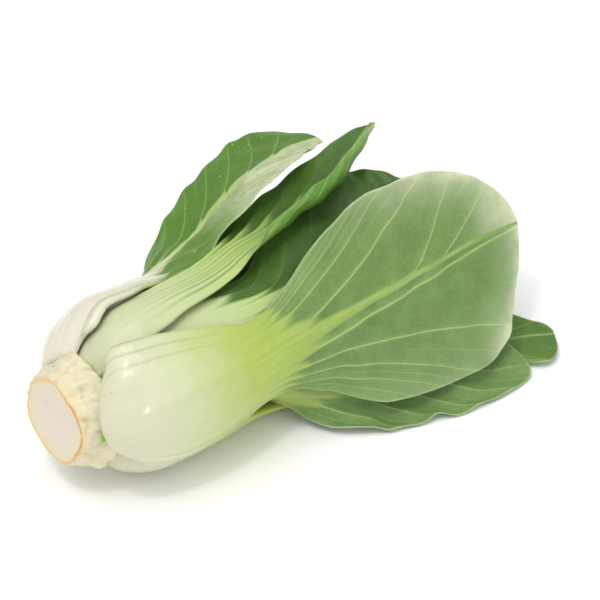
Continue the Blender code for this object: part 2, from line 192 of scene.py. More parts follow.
# Cut and scarred stem flesh: moist, so light goes in a little and the wet cut has a soft gloss. The
# skin shows as a thin tan line at the rim, darkest towards the front. The collar is cream, with
# yellow patches, dark specks about 0.5 mm across and a few green bud tips. Its dents carry painted
# shade, a darker olive-tan.
flesh = bpy.data.materials.new("cut stem flesh")
flesh.use_nodes = True
tree = flesh.node_tree
shader = tree.nodes["Principled BSDF"].inputs
where = add(tree, "TexCoord", out="Object")
from_middle, swollen, in_front, sprouting = (
    add(tree, "Attribute", attribute_name=name, out="Fac") for name in ("from_middle", "swell", "in_front", "sprout")
)
blotches = add(tree, "TexNoise", {"Vector": where, "Scale": 260, "Detail": 4, "Roughness": 0.6})
wavering = add(tree, "MapRange", {"Value": blotches, "To Min": -0.035, "To Max": 0.035})
place = add(tree, "Math", {0: from_middle, 1: wavering}, operation="ADD")
half_place = add(tree, "Math", {0: place, 1: 0.5}, operation="MULTIPLY")
rings = add(tree, "ValToRGB", {"Fac": half_place}, stops=[
    (0.0, "DED4C4"), (0.3, "DFD4C1"), (0.42, "E0D4B9"), (0.458, "E0D3AA"), (0.482, "DCC48C"), (0.5, "DDCA9C"),
    (0.53, "DDD4B6"), (0.66, "DAD5B8"), (0.8, "D8D6B4"), (0.92, "D2D8B0"),
])
skin_line = add(tree, "ValToRGB", {"Fac": half_place}, stops=[
    (0.458, "000000"), (0.478, "FFFFFF"), (0.488, "FFFFFF"), (0.505, "000000"),
])
skin_share = add(tree, "Math", {0: skin_line, 1: in_front}, operation="MULTIPLY")
rings = add(tree, "Mix", {"Factor": skin_share, 6: rings, 7: "C98F4C"}, **OF_COLOURS)
patches = add(tree, "TexNoise", {"Vector": where, "Scale": 150, "Detail": 5, "Roughness": 0.65})
patchy = add(tree, "MapRange", {"Value": patches, "From Min": 0.45, "From Max": 0.7, "To Max": 0.75})
on_collar = add(tree, "MapRange", {"Value": from_middle, "From Min": 0.98, "From Max": 1.12})
patch_share = add(tree, "Math", {0: patchy, 1: on_collar}, operation="MULTIPLY")
tinted = add(tree, "Mix", {"Factor": patch_share, 6: rings, 7: "DCCD9C"}, **OF_COLOURS)
# Painted shade: darker olive-tan where the collar wall sinks into dents.
dent_shade = add(tree, "MapRange", {"Value": swollen, "From Min": -1.3, "From Max": -0.3, "To Min": 0.5, "To Max": 0.0})
shaded = add(tree, "Mix", {"Factor": dent_shade, 6: tinted, 7: "B9A763"}, **OF_COLOURS)
from_dot, kind_of_dot = (
    add(tree, "TexVoronoi", {"Vector": where, "Scale": 170}, out=output) for output in ("Distance", "Color")
)
near_dot = add(tree, "MapRange", {"Value": from_dot, "From Min": 0.05, "From Max": 0.12, "To Min": 1, "To Max": 0})
picked = add(tree, "SeparateColor", {"Color": kind_of_dot})
rare = add(tree, "Math", {0: picked, 1: 0.9}, operation="GREATER_THAN")
speck = add(tree, "Math", {0: near_dot, 1: rare}, operation="MULTIPLY")
speck = add(tree, "Math", {0: speck, 1: on_collar}, operation="MULTIPLY")
speckled = add(tree, "Mix", {"Factor": speck, 6: shaded, 7: "7C7A55"}, **OF_COLOURS)
speckled = add(tree, "Mix", {"Factor": sprouting, 6: speckled, 7: "8ABF3C"}, **OF_COLOURS)
grit = add(tree, "TexNoise", {"Vector": where, "Scale": 900, "Detail": 4})
rough = add(tree, "MapRange", {"Value": grit, "To Min": 0.3, "To Max": 0.6})
bump = add(tree, "Bump", {"Height": grit, "Strength": 0.35, "Distance": 0.0004})
tree.links.new(speckled, shader["Base Color"])
tree.links.new(rough, shader["Roughness"])
tree.links.new(bump, shader["Normal"])
shader["IOR"].default_value = 1.4
shader["Subsurface Weight"].default_value = 0.35
shader["Subsurface Radius"].default_value = (1.0, 0.8, 0.45)
shader["Subsurface Scale"].default_value = 0.003
stem.data.materials.append(flesh)
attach(stem, "root")
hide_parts("stem_base")

# ----------------------------------------
# Front outer leaf. The largest leaf, with its outer face in front: a thick, spoon-shaped white stalk
# clasps the plant, thins to a yellow-green neck and fans out into a grey-green blade with raised,
# pale veins. It grew as one piece, so one closed skin runs over its stalk and blade.
# ----------------------------------------
OUTER_FLESH = [(0, 6.0, 3.8), (0.12, 6.5, 3.0), (0.3, 5, 2.2), (0.42, 3.2, 1.0), (0.6, 1.6, 0.7), (1, 0.8, 0.6)]
# How much closer the rows of points stand at a leaf's two ends, and half the width of its very tip in mm.
END_CROWDING = 0.08
TIP_HALF_WIDTH = 0.8
# How far veins and midrib stand out of the outer face and sink into the inner one, in mm.
VEIN_HEIGHT, VEIN_DENT = 0.42, 0.25
MIDRIB_HEIGHT, MIDRIB_DENT = 0.8, 0.3
# Random unevenness as (height, length) in mm: the blade's dents and bends, the stalk's flutes, the skin.
DENTS, BENDS, FLUTES, SKIN = (0.5, 16), (0.25, 30), (0.13, 9), (0.04, 4)
# Flutes and ribs run lengthwise, so along the leaf they change this much more slowly.
STRETCH = 0.12
# Outer veins past the listed ones: how many, and how far apart in mm.
SPARE_VEINS, SPARE_GAP = 7, 7
SIDE_VEINS = (
    (0.82, 0, 0.97, 0.7), (0.73, 0, 0.91, 0.8), (0.64, 0, 0.84, 0.9), (0.55, 1, 0.75, 0.9), (0.48, 4, 0.66, 0.8),
    (0.43, 8, 0.56, 0.7),
)


class Leaf(NamedTuple):
    """One leaf. Places along it run from 0 at its base to 1 at its tip. A row leaves out the zeros at its end.

    azimuth: where it stands round the stem, in degrees; 0 faces -Y, 90 faces up, 180 faces +Y.
    spine: points of its midrib as (along the stem, out from the stem's axis, aside), in mm.
    ahead, behind: its halves, on the side of growing and falling azimuth. Each row is
        (place, width in mm, fold at the midrib, cupping, curl of the margin), angles in degrees;
        a positive angle closes the half towards the plant's heart.
    flesh: (place, thickness at the midrib, thickness at the margin), in mm.
    blade_start, round_from: the places where the blade and the round tip begin.
    stalk: (place, half the width of the pale stalk or midrib in mm).
    veins_ahead, veins_behind: the side veins from the innermost out, as (place where it leaves the
        stalk, how far from the midrib it does, place where it meets the margin, its width in mm).
    turn: (place, degrees) by which the leaf rolls about its midrib.
    ribs: (place, height in mm) of the stalk's lengthwise ribs.
    waves: (place, height in mm) of the margin's waves; wave_count of them from base to tip.
    quilting: how far the blade swells between its veins, in mm.
    groove: depth in mm of the valley beside the midrib, on the behind half.
    pale_ahead, pale_behind: (place, painted sheen by the midrib, painted sheen by the margin), 0 to 1;
    this pale colour is painted for glare on the leaf.
    """

    name: str
    azimuth: float
    spine: list
    ahead: list
    behind: list
    flesh: list
    blade_start: float
    round_from: float
    stalk: list = ((0, 40), (0.35, 34), (0.42, 14), (0.48, 6), (0.56, 3), (0.66, 2), (0.8, 1.3), (1, 0.7))
    veins_ahead: list = SIDE_VEINS
    veins_behind: list = SIDE_VEINS
    turn: list = ((0, 0), (1, 0))
    ribs: list = ((0, 0.1), (1, 0))
    waves: list = ((0, 0), (1, 0))
    wave_count: float = 7.0
    quilting: float = 0.35
    groove: float = 0.0
    pale_ahead: list = ((0, 0), (1, 0))
    pale_behind: list = ((0, 0), (1, 0))


def between(places, table, column=1):
    """The table's column at each place, by a smooth curve that never overshoots its rows."""
    xs = np.array([row[0] for row in table], float)
    ys = np.array([(*row, 0, 0, 0)[column] for row in table], float)
    steps = np.diff(xs)
    rises = np.diff(ys) / steps
    slopes = np.concatenate([rises[:1], np.zeros(len(xs) - 2), rises[-1:]])
    same_way = rises[:-1] * rises[1:] > 0
    sums = np.where(same_way, rises[:-1] + rises[1:], 1)
    slopes[1:-1] = np.where(same_way, 2 * rises[:-1] * rises[1:] / sums, 0)
    return hermite(places, xs, ys, slopes)


def hermite(places, xs, ys, slopes):
    """The cubic through the points (xs, ys) with the given slopes, at each place."""
    cell = np.clip(np.searchsorted(xs, places, side="right") - 1, 0, len(xs) - 2)
    step = xs[cell + 1] - xs[cell]
    t = np.clip((places - xs[cell]) / step, 0, 1)
    return (
        (1 + 2 * t) * (1 - t) ** 2 * ys[cell] + t * (1 - t) ** 2 * step * slopes[cell]
        + t * t * (3 - 2 * t) * ys[cell + 1] + t * t * (t - 1) * step * slopes[cell + 1]
    )


def unit(vectors):
    return vectors / np.maximum(np.linalg.norm(vectors, axis=-1, keepdims=True), 1e-9)


def outward(azimuths):
    """The direction away from the stem's axis at each azimuth, in degrees."""
    angles = np.radians(azimuths)
    return np.stack([np.zeros_like(angles), -np.cos(angles), np.sin(angles)], axis=-1)


def spine_of(leaf, places):
    """Points and directions of the midrib at the places, evenly spaced along it, and its length."""
    azimuth = math.radians(leaf.azimuth)
    out = np.array([0, -math.cos(azimuth), math.sin(azimuth)])
    aside = np.array([0, math.sin(azimuth), math.cos(azimuth)])
    rows = [(*row, 0)[:3] for row in leaf.spine]
    points = np.array([np.array([x, 0, 0]) + r * out + s * aside for x, r, s in rows])
    gaps = np.linalg.norm(np.diff(points, axis=0), axis=1)
    knots = np.concatenate([[0], np.cumsum(gaps)])
    chords = np.diff(points, axis=0) / gaps[:, None]
    slopes = np.concatenate([chords[:1], np.zeros((len(gaps) - 1, 3)), chords[-1:]])
    weights = gaps[:-1, None] + gaps[1:, None]
    slopes[1:-1] = (chords[:-1] * gaps[1:, None] + chords[1:] * gaps[:-1, None]) / weights

    def curve(at):
        return np.stack([hermite(at, knots, points[:, axis], slopes[:, axis]) for axis in range(3)], axis=-1)

    fine = np.linspace(0, knots[-1], 600)
    lengths = np.linalg.norm(np.diff(curve(fine), axis=0), axis=1)
    travelled = np.concatenate([[0], np.cumsum(lengths)])
    at = np.interp(places * travelled[-1], travelled, fine)
    nudge = 0.001 * knots[-1]
    ends = np.clip(at + nudge, 0, knots[-1]), np.clip(at - nudge, 0, knots[-1])
    return curve(at), unit(curve(ends[0]) - curve(ends[1])), travelled[-1]


def half_section(leaf, table, places, reach, across):
    """A half's width, and how far each column lies aside from the midrib and in towards the heart, in mm."""
    tip = np.clip((places - leaf.round_from) / (1 - leaf.round_from), 0, 1)
    width = np.maximum(between(places, table) * np.sqrt(1 - tip ** 2.2), TIP_HALF_WIDTH)
    clasp_end = min(leaf.blade_start + 0.2, 0.99)
    clasp = between(places, [(0, 1), (leaf.blade_start, 1), (clasp_end, 0), (1, 0)])
    fold = np.radians(between(places, table, 2))
    cup = np.radians(between(places, table, 3)) + clasp * width / reach
    curl = np.radians(between(places, table, 4))
    t = np.linspace(0, 1, 161)
    angle = fold[:, None] + cup[:, None] * t + curl[:, None] * t ** 3
    step = width[:, None] / 160
    parts = []
    for trace in (np.cos, np.sin):
        total = np.cumsum((trace(angle)[:, 1:] + trace(angle)[:, :-1]) / 2 * step, axis=1)
        total = np.concatenate([np.zeros((len(places), 1)), total], axis=1)
        low = np.minimum((across * 160).astype(int), 159)
        share = across * 160 - low
        parts.append(total[:, low] * (1 - share) + total[:, low + 1] * share)
    return width, parts[0], parts[1]


def soft_step(value, low, high):
    t = np.clip((value - low) / (high - low), 0, 1)
    return t * t * (3 - 2 * t)


def vein_map(veins, places, width, across):
    """For each point of a half: its count of veins from the midrib, the mm from one vein to the next
    there, and the width of the nearest vein."""
    count = len(veins) + SPARE_VEINS
    lines = np.zeros((len(places), count))
    for number, (leaves, start, meets, _) in enumerate(veins, 1):
        width_there = np.interp([leaves, meets], places, width)
        run = np.clip((places - leaves) / (meets - leaves), 0, None)
        away = start + (width_there[1] - start) * run ** 1.35
        away = np.where(places < leaves, start * np.clip(width / width_there[0], 0.3, 2), away)
        lines[:, number] = np.maximum(away, lines[:, number - 1] + 0.3)
    for number in range(len(veins) + 1, count):
        lines[:, number] = lines[:, number - 1] + SPARE_GAP
    counts = np.arange(count)
    widths = np.array([0] + [vein[3] for vein in veins] + [0.35] * (count - 1 - len(veins)))
    nearest = np.empty((len(places), len(across)))
    spacing = np.empty_like(nearest)
    for row, line in enumerate(lines):
        nearest[row] = np.interp(width[row] * across, line, counts)
        spacing[row] = np.interp(nearest[row], counts[:-1] + 0.5, np.diff(line))
    vein_width = np.interp(nearest, counts, widths) * (1 - 0.55 * across ** 1.5)
    return nearest, spacing, vein_width


def leaf_grids(leaf, rows, columns, seed):
    """The outer and inner faces as grids of points in mm, with what the material needs to know."""
    even = np.linspace(0, 1, rows + 1)
    places = even - END_CROWDING * np.sin(2 * math.pi * even)
    across = 1 - (1 - np.linspace(0, 1, columns + 1)) ** 1.2
    midrib, along, length = spine_of(leaf, places)
    away = outward(leaf.azimuth + between(places, leaf.turn))
    away = unit(away - np.sum(away * along, axis=1, keepdims=True) * along)
    aside = np.cross(away, along)
    reach = np.maximum(np.hypot(midrib[:, 1], midrib[:, 2]), 6)
    sheets, widths, veins, sheens = [], [], [], []
    for side, table, vein_table, pale in (
        (-1, leaf.behind, leaf.veins_behind, leaf.pale_behind),
        (1, leaf.ahead, leaf.veins_ahead, leaf.pale_ahead),
    ):
        width, over, inward = half_section(leaf, table, places, reach, across)
        sheets.append(midrib[:, None] + side * over[..., None] * aside[:, None] - inward[..., None] * away[:, None])
        widths.append(width)
        veins.append(vein_map(vein_table, places, width, across))
        # The pale tables give a painted sheen: pale colour that stands in for glare.
        by_midrib, by_margin = between(places, pale)[:, None], between(places, pale, 2)[:, None]
        sheens.append(by_midrib + (by_margin - by_midrib) * across ** 4)

    def join(behind, ahead):
        return np.concatenate([behind[:, :0:-1], ahead], axis=1)

    sheet = join(sheets[0], sheets[1])
    count, spacing, vein_width = (join(one, other) for one, other in zip(*veins))
    t = np.concatenate([-across[:0:-1], across])[None, :]
    width = join(np.repeat(widths[0][:, None], columns + 1, 1), np.repeat(widths[1][:, None], columns + 1, 1))
    from_midrib = width * t
    travel = (places * length)[:, None] + 0 * t
    place = places[:, None] + 0 * t
    stalk = between(places, leaf.stalk)[:, None]
    blade = soft_step(np.abs(from_midrib) / stalk, 0.75, 1.35)
    from_margin = width * (1 - np.abs(t))

    # The whole sheet sways: waves at the margin, swelling between the veins, and soft random dents.
    normal = unit(np.cross(np.gradient(sheet, axis=0), np.gradient(sheet, axis=1)))
    wave = between(places, leaf.waves)[:, None] * np.abs(t) ** 2.5
    phase = 2 * math.pi * leaf.wave_count * place + 0.9 * np.sign(t)
    sway = wave * (np.sin(phase) + 0.5 * np.sin(phase * 2.3 + 1.3))
    between_veins = 0.5 - 0.5 * np.cos(2 * math.pi * count)
    sway = sway - leaf.quilting * blade * (between_veins - 0.5) * np.clip(spacing / 8, 0, 1)
    valley = np.exp(-((from_midrib + 1.6 * stalk + 2.5) / 3.2) ** 2) * soft_step(place, 0.42, 0.55)
    sway = sway + leaf.groove * valley * soft_step(1 - place, 0, 0.15)
    sway = sway + DENTS[0] * blade * smooth_noise(travel, from_midrib, DENTS[1], seed)
    sway = sway + BENDS[0] * smooth_noise(travel, from_midrib, BENDS[1], seed + 1)
    sheet = sheet + normal * sway[..., None]

    # The flesh, with a rounded margin; veins and midrib stand proud outside and sink in inside.
    thick_middle = between(places, leaf.flesh)[:, None]
    thick_margin = between(places, leaf.flesh, 2)[:, None]
    thickness = thick_margin + (thick_middle - thick_margin) * (1 - np.abs(t) ** 1.6)
    rounding = np.minimum(from_margin / (0.7 * thick_margin), (travel + 0.4) / (0.8 * thick_margin))
    rounding = np.clip(rounding, 0.02, 1)
    half = thickness / 2 * np.sqrt(1 - (1 - rounding) ** 2)
    from_vein = np.abs(count - np.round(count)) * spacing
    side_vein = np.exp(-(from_vein / np.maximum(vein_width, 0.2)) ** 2) * soft_step(count, 0.5, 1)
    side_vein = side_vein * blade * soft_step(from_margin, 0, 5) * np.minimum(vein_width, 1)
    ridge = np.exp(-(from_midrib / (0.75 * stalk)) ** 2) * soft_step(place, leaf.blade_start, leaf.blade_start + 0.12)
    ridge = ridge * (0.15 + 1.1 * (1 - place))
    ribs = between(places, leaf.ribs)[:, None] * (
        np.cos(2 * math.pi * count) + 0.4 * smooth_noise(travel * STRETCH, from_midrib, 7, seed + 2)
    ) * soft_step(from_margin, 2, 9) * np.clip((spacing - 0.8) / 1.6, 0, 1)
    flutes = FLUTES[0] * smooth_noise(travel * STRETCH, from_midrib, FLUTES[1], seed + 3)
    pores = SKIN[0] * smooth_noise(travel, from_midrib, SKIN[1], seed + 4)
    skin = flutes * soft_step(from_margin, 0, 3) + pores * soft_step(from_margin, 0, 2)
    above = half + VEIN_HEIGHT * side_vein + MIDRIB_HEIGHT * ridge + ribs + skin
    below = half - VEIN_DENT * side_vein - MIDRIB_DENT * ridge - 0.3 * ribs - skin
    outer = sheet + normal * above[..., None]
    inner = sheet - normal * below[..., None]
    notes = {
        "place": place, "half": t + 0 * place, "from_rib": np.abs(from_midrib) / stalk, "vein": count,
        "vein_gap": spacing, "vein_width": vein_width, "pale": join(sheens[0], sheens[1]), "margin": from_margin,
        "ribbed": between(places, leaf.ribs)[:, None] + 0 * t,
    }
    return outer, inner, notes, np.stack([from_midrib, travel], axis=-1)


def grow_leaf(leaf, rows, columns, material, seed):
    """A flat grid is given flesh by Solidify, then every point of it is put where the leaf has it."""
    outer, inner, notes, flat = leaf_grids(leaf, rows, columns, seed)
    bpy.ops.object.select_all(action="DESELECT")
    bpy.ops.mesh.primitive_grid_add(x_subdivisions=2 * columns, y_subdivisions=rows, size=1)
    grown = bpy.context.object
    grown.name = leaf.name + "_grown"
    flesh_layer = grown.modifiers.new("flesh", "SOLIDIFY")
    flesh_layer.thickness = 0.1
    flesh_layer.offset = 0
    bpy.ops.object.modifier_apply(modifier="flesh")
    bpy.ops.object.shade_smooth()
    mesh = grown.data
    at = vertex_array(mesh)
    column = np.rint((at[:, 0] + 0.5) * 2 * columns).astype(int)
    row = np.rint((at[:, 1] + 0.5) * rows).astype(int)
    is_outer = at[:, 2] < 0
    set_vertices(mesh, np.where(is_outer[:, None], outer[row, column], inner[row, column]) * MM + CUT_CENTRE)
    for name, values in notes.items():
        note(mesh, name, values[row, column])
    note(mesh, "outside", is_outer)
    corners = np.empty(len(mesh.loops), int)
    mesh.loops.foreach_get("vertex_index", corners)
    mesh.uv_layers[0].name = "leaf_cm"
    mesh.uv_layers[0].data.foreach_set("uv", (flat[row, column][corners] / 10).ravel())
    mesh.materials.append(material)
    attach(grown, "root")
    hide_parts(leaf.name)


def leaf_material(name, stalk, outside, inside, vein_outside, vein_inside, pale, fibre="E6E9C4", rim=0.3,
                  gloss=(0.13, 0.44), depth=0.25, spots=("D8D68A", 0.0), pleats=0.0, furrows=0.0):
    """Living leaf: waxy, so it has a soft gloss, and thin or juicy, so light goes into it.

    stalk: colours of the stalk and midrib as (place, colour). outside, inside: the blade's colours on
    its behind and ahead halves. vein_outside, vein_inside: (colour, how strongly the veins show).
    pale: the pale colour of the painted sheen that stands in for glare, and of the margin. fibre: the
    colour of the stalk's fibres. rim: how pale the margin is. gloss: roughness of the stalk and of the
    blade. depth: how much light goes in. spots: colour and share of the small pale spots, which are
    yellow spots on some leaves and painted glints on others. pleats: how much of the leaf's green
    shows in the creases under the painted sheen.
    furrows: how green the stalk is between its ribs.
    """
    made = bpy.data.materials.new(name)
    made.use_nodes = True
    tree = made.node_tree
    shader = tree.nodes["Principled BSDF"].inputs
    noted = {
        key: add(tree, "Attribute", attribute_name=key, out="Fac")
        for key in (
            "place", "half", "from_rib", "vein", "vein_gap", "vein_width", "pale", "margin", "outside", "ribbed",
        )
    }
    flat = add(tree, "UVMap", uv_map="leaf_cm")
    mottle = add(tree, "TexNoise", {"Vector": flat, "Scale": 0.8, "Detail": 5, "Roughness": 0.6})
    grain = add(tree, "TexNoise", {"Vector": flat, "Scale": 14, "Detail": 4, "Roughness": 0.65})
    stretched = add(tree, "Mapping", {"Vector": flat, "Scale": (9, 0.5, 1)})
    fibres = add(tree, "TexNoise", {"Vector": stretched, "Scale": 1, "Detail": 3})

    # Stalk: white flesh that greens towards the blade, with faint lengthwise fibres.
    drift = add(tree, "Math", {0: fibres, 1: 0.08, 2: -0.09}, operation="MULTIPLY_ADD")
    drift = add(tree, "Math", {0: mottle, 1: 0.1, 2: drift}, operation="MULTIPLY_ADD")
    drift = add(tree, "Math", {0: noted["place"], 1: drift}, operation="ADD")
    stalk_colour = add(tree, "ValToRGB", {"Fac": drift}, stops=stalk)
    fibre_share = add(tree, "MapRange", {"Value": fibres, "From Min": 0.45, "From Max": 0.8, "To Max": 0.16})
    stalk_colour = add(tree, "Mix", {"Factor": fibre_share, 6: stalk_colour, 7: fibre}, **OF_COLOURS)

    # Blade: each half of each face has its own green, softly mottled.
    ahead = add(tree, "MapRange", {"Value": noted["half"], "From Min": -0.02, "From Max": 0.02})
    under = add(tree, "Mix", {"Factor": ahead, 6: outside[0], 7: outside[1]}, **OF_COLOURS)
    upper = add(tree, "Mix", {"Factor": ahead, 6: inside[0], 7: inside[1]}, **OF_COLOURS)
    green = add(tree, "Mix", {"Factor": noted["outside"], 6: upper, 7: under}, **OF_COLOURS)
    deep_share = add(tree, "MapRange", {"Value": mottle, "From Min": 0.3, "From Max": 0.7, "To Max": 0.5})
    green = add(tree, "Mix", {"Factor": deep_share, 6: green, 7: "A9BF70"}, blend_type="MULTIPLY",
                **OF_COLOURS)
    dust = add(tree, "MapRange", {"Value": grain, "From Min": 0.35, "From Max": 0.7, "To Max": 0.07})
    green = add(tree, "Mix", {"Factor": dust, 6: green, 7: "C8D4A0"}, **OF_COLOURS)

    # Veins: each main vein a fine pale line with a faint glow, a branch between each two, and a
    # network that can only just be seen.
    off_vein = add(tree, "Math", {0: noted["vein"], 1: 0.5}, operation="PINGPONG")
    from_vein = add(tree, "Math", {0: off_vein, 1: noted["vein_gap"]}, operation="MULTIPLY")
    vein_width = add(tree, "Math", {0: noted["vein_width"], 1: 0.05}, operation="MAXIMUM")
    in_widths = add(tree, "Math", {0: from_vein, 1: vein_width}, operation="DIVIDE")
    line = add(tree, "MapRange", {"Value": in_widths, "From Min": 0.1, "From Max": 0.75, "To Min": 1, "To Max": 0},
               interpolation_type="SMOOTHSTEP")
    glow = add(tree, "MapRange", {"Value": from_vein, "From Min": 0.3, "From Max": 2.4, "To Min": 0.1, "To Max": 0},
               interpolation_type="SMOOTHSTEP")
    off_branch = add(tree, "Math", {0: 0.5, 1: off_vein}, operation="SUBTRACT")
    from_branch = add(tree, "Math", {0: off_branch, 1: noted["vein_gap"]}, operation="MULTIPLY")
    branch = add(tree, "MapRange", {"Value": from_branch, "From Min": 0.1, "From Max": 0.4, "To Min": 0.45,
                                    "To Max": 0})
    side = add(tree, "Math", {0: noted["half"]}, operation="ABSOLUTE")
    outlying = add(tree, "MapRange", {"Value": side, "From Min": 0.45, "From Max": 0.8})
    branch = add(tree, "Math", {0: branch, 1: outlying}, operation="MULTIPLY")
    wobble = add(tree, "TexNoise", {"Vector": flat, "Scale": 3}, out="Color")
    bent = add(tree, "VectorMath", {0: wobble, 1: (0.3, 0.3, 0.3), 2: flat}, operation="MULTIPLY_ADD")
    cells = add(tree, "TexVoronoi", {"Vector": bent, "Scale": 2.6}, feature="DISTANCE_TO_EDGE")
    network = add(tree, "MapRange", {"Value": cells, "From Min": 0.01, "From Max": 0.07, "To Min": 0.14, "To Max": 0})
    lines = add(tree, "Math", {0: branch, 1: network}, operation="MAXIMUM")
    lines = add(tree, "Math", {0: lines, 1: line}, operation="MAXIMUM")
    shows = add(tree, "MapRange", {"Value": noted["outside"], "To Min": vein_inside[1], "To Max": vein_outside[1]})
    vein_colour = add(tree, "Mix", {"Factor": noted["outside"], 6: vein_inside[0], 7: vein_outside[0]},
                      **OF_COLOURS)
    glow_share = add(tree, "Math", {0: glow, 1: shows}, operation="MULTIPLY")
    line_share = add(tree, "Math", {0: lines, 1: shows}, operation="MULTIPLY")
    blade = add(tree, "Mix", {"Factor": glow_share, 6: green, 7: vein_colour}, **OF_COLOURS)
    blade = add(tree, "Mix", {"Factor": line_share, 6: blade, 7: vein_colour}, **OF_COLOURS)

    # Painted sheen: where the pale tables say, the blade is painted pale for glare, brightest on its close
    # ribs, with the leaf's green left in the creases between them.
    patchy = add(tree, "MapRange", {"Value": mottle, "From Min": 0.3, "From Max": 0.6, "To Min": 0.45, "To Max": 1})
    sheen_share = add(tree, "Math", {0: noted["pale"], 1: patchy}, operation="MULTIPLY")
    pleat_place = add(tree, "Math", {0: noted["vein"], 1: 4}, operation="MULTIPLY")
    pleat_place = add(tree, "Math", {0: fibres, 1: 0.9, 2: pleat_place}, operation="MULTIPLY_ADD")
    pleat = add(tree, "Math", {0: pleat_place, 1: 0.5}, operation="PINGPONG")
    pleat = add(tree, "MapRange", {"Value": pleat, "From Min": 0.3, "From Max": 0.46, "To Max": pleats})
    line_in_pale = add(tree, "Math", {0: lines, 1: 0.6}, operation="MULTIPLY")
    sheen_colour = add(tree, "Mix", {"Factor": line_in_pale, 6: pale, 7: "E9EBCF"}, **OF_COLOURS)
    sheen_colour = add(tree, "Mix", {"Factor": pleat, 6: sheen_colour, 7: green}, **OF_COLOURS)
    blade = add(tree, "Mix", {"Factor": sheen_share, 6: blade, 7: sheen_colour}, **OF_COLOURS)
    at_rim = add(tree, "MapRange", {"Value": noted["margin"], "From Min": 0.15, "From Max": 0.9, "To Min": rim,
                                    "To Max": 0})
    blade = add(tree, "Mix", {"Factor": at_rim, 6: blade, 7: pale}, **OF_COLOURS)

    # Towards the blade the stalk is greener in the furrows between its ribs.
    furrow = add(tree, "MapRange", {"Value": off_vein, "From Min": 0.22, "From Max": 0.5})
    furrow = add(tree, "Math", {0: furrow, 1: noted["ribbed"]}, operation="MULTIPLY")
    furrow = add(tree, "Math", {0: furrow, 1: furrows}, operation="MULTIPLY")
    stalk_colour = add(tree, "Mix", {"Factor": furrow, 6: stalk_colour, 7: green}, **OF_COLOURS)

    # The green sets in first between the veins, in streaks, so the stalk fans out into them.
    streak = add(tree, "Math", {0: fibres, 1: 0.16, 2: -0.4}, operation="MULTIPLY_ADD")
    streak = add(tree, "Math", {0: off_vein, 1: 1.5, 2: streak}, operation="MULTIPLY_ADD")
    reached = add(tree, "Math", {0: noted["from_rib"], 1: streak}, operation="ADD")
    is_blade = add(tree, "MapRange", {"Value": reached, "From Min": 0.6, "From Max": 1.5},
                   interpolation_type="SMOOTHSTEP")
    colour = add(tree, "Mix", {"Factor": is_blade, 6: stalk_colour, 7: blade}, **OF_COLOURS)

    # A few dark specks of soil and small bruises, and here and there a small pale spot: a yellow spot on
    # the bright green leaf, a painted glint on the grey-green one.
    nearness, kind_of_dot = (
        add(tree, "TexVoronoi", {"Vector": flat, "Scale": 1.7}, out=output) for output in ("Distance", "Color")
    )
    ragged = add(tree, "Math", {0: grain, 1: 0.05, 2: nearness}, operation="MULTIPLY_ADD")
    dot = add(tree, "MapRange", {"Value": ragged, "From Min": 0.05, "From Max": 0.085, "To Min": 0.7, "To Max": 0})
    lot = add(tree, "SeparateColor", {"Color": kind_of_dot})
    dark = add(tree, "Math", {0: lot, 1: 0.8}, operation="GREATER_THAN")
    dark = add(tree, "Math", {0: dark, 1: dot}, operation="MULTIPLY")
    colour = add(tree, "Mix", {"Factor": dark, 6: colour, 7: "6B6F3E"}, **OF_COLOURS)
    light = add(tree, "Math", {0: lot, 1: spots[1]}, operation="LESS_THAN")
    large_dot = add(tree, "MapRange", {"Value": ragged, "From Min": 0.08, "From Max": 0.13, "To Min": 0.7,
                                       "To Max": 0})
    light = add(tree, "Math", {0: light, 1: large_dot}, operation="MULTIPLY")
    light = add(tree, "Math", {0: light, 1: is_blade}, operation="MULTIPLY")
    colour = add(tree, "Mix", {"Factor": light, 6: colour, 7: spots[0]}, **OF_COLOURS)
    tree.links.new(colour, shader["Base Color"])
    waxy = add(tree, "MapRange", {"Value": is_blade, "To Min": gloss[0] - 0.05, "To Max": gloss[1] - 0.05})
    waxy = add(tree, "Math", {0: grain, 1: 0.1, 2: waxy}, operation="MULTIPLY_ADD")
    tree.links.new(waxy, shader["Roughness"])
    relief = add(tree, "Math", {0: fibres, 1: 0.3}, operation="MULTIPLY")
    relief = add(tree, "Math", {0: grain, 1: 0.3, 2: relief}, operation="MULTIPLY_ADD")
    relief = add(tree, "Math", {0: lines, 1: is_blade, 2: relief}, operation="MULTIPLY_ADD")
    tree.links.new(add(tree, "Bump", {"Height": relief, "Strength": 0.45, "Distance": 0.0002}), shader["Normal"])
    shader["IOR"].default_value = 1.42
    shader["Subsurface Weight"].default_value = depth
    shader["Subsurface Radius"].default_value = (0.7, 1.0, 0.35)
    shader["Subsurface Scale"].default_value = 0.0025
    return made
